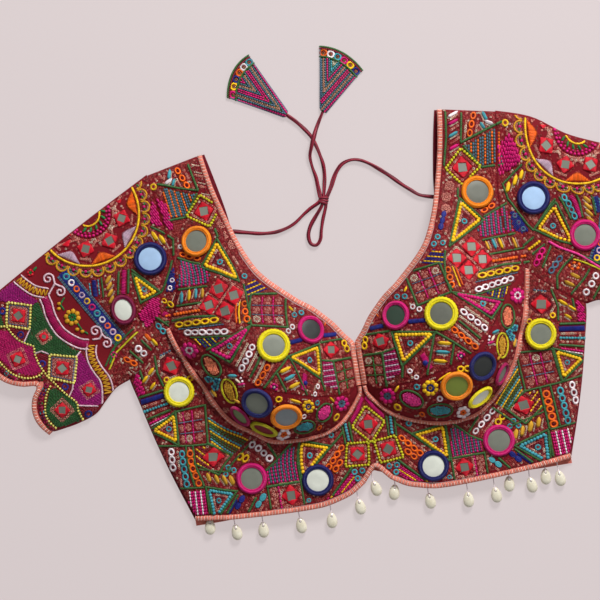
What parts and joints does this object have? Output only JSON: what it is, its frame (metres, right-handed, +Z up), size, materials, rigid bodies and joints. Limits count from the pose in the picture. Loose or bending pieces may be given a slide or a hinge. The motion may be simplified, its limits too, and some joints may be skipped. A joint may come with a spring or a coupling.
{
  "type": "choli blouse",
  "caption": "Short-sleeved choli blouse laid flat: padded cups in a mirror-work band, scalloped cuffs, deep back with a tied dori and fan latkans, and cowry drops along the hem.",
  "frame": {"origin": "on the surface that the blouse lies on, below the middle of the centre front where the two cup seams part", "axes": "+X towards the wearer's left sleeve, +Y towards the shoulders, +Z up, out of the front"},
  "size_m": [0.7884, 0.4963, 0.0573],
  "materials": {
    "embroidered_cloth": "deep maroon cotton silk covered in coloured threadwork",
    "back_cloth": "plain maroon weave",
    "binding_cloth": "salmon ribbed binding",
    "mirror_glass": "silvered glass in a ring of thread",
    "thread": "stranded embroidery thread in many colours",
    "sequin": "small glossy sequins",
    "shell": "glossy cowry shell",
    "dori_cloth": "rolled maroon fabric tube",
    "latkan_cloth": "embroidered cloth, padded flat"
  },
  "bodies": {
    "root": {"front_band": "embroidered_cloth", "front_upper_left": "embroidered_cloth", "lower_cup_left": "embroidered_cloth", "back_left": "back_cloth", "sleeve_left": "embroidered_cloth", "front_upper_right": "embroidered_cloth", "lower_cup_right": "embroidered_cloth", "back_right": "back_cloth", "sleeve_right": "embroidered_cloth", "hem_binding_front": "binding_cloth", "neck_binding_left": "binding_cloth", "cup_piping_left": "binding_cloth", "hem_binding_back_left": "binding_cloth", "cuff_binding_left": "binding_cloth", "neck_binding_right": "binding_cloth", "cup_piping_right": "binding_cloth", "hem_binding_back_right": "binding_cloth", "cuff_binding_right": "binding_cloth", "mirror_01_orange": "mirror_glass", "mirror_02_yellow": "mirror_glass", "mirror_03_yellow": "mirror_glass", "mirror_04_pink": "mirror_glass", "mirror_05_navy": "mirror_glass", "mirror_06_orange": "mirror_glass", "mirror_07_pink": "mirror_glass", "mirror_08_navy": "mirror_glass", "mirror_09_orange": "mirror_glass", "mirror_10_pink": "mirror_glass", "mirror_11_yellow": "mirror_glass", "mirror_12_yellow": "mirror_glass", "mirror_13_navy": "mirror_glass", "mirror_14_orange": "mirror_glass", "mirror_15_pink": "mirror_glass", "mirror_16_navy": "mirror_glass", "mirror_17_navy": "mirror_glass", "mirror_18_navy": "mirror_glass", "mirror_19_pink": "mirror_glass", "cowry_01": "shell", "cowry_02": "shell", "cowry_03": "shell", "cowry_04": "shell", "cowry_05": "shell", "cowry_06": "shell", "cowry_07": "shell", "cowry_08": "shell", "cowry_09": "shell", "cowry_10": "shell", "cowry_11": "shell", "cowry_12": "shell", "cowry_13": "shell", "cowry_14": "shell", "cowry_15": "shell", "dori_right_neck": "dori_cloth", "dori_left_neck": "dori_cloth", "dori_loop": "dori_cloth", "dori_left_tail": "dori_cloth", "dori_right_tail": "dori_cloth", "dori_knot": "dori_cloth", "latkan_left": "latkan_cloth", "latkan_right": "latkan_cloth"}
  },
  "joints": []
}
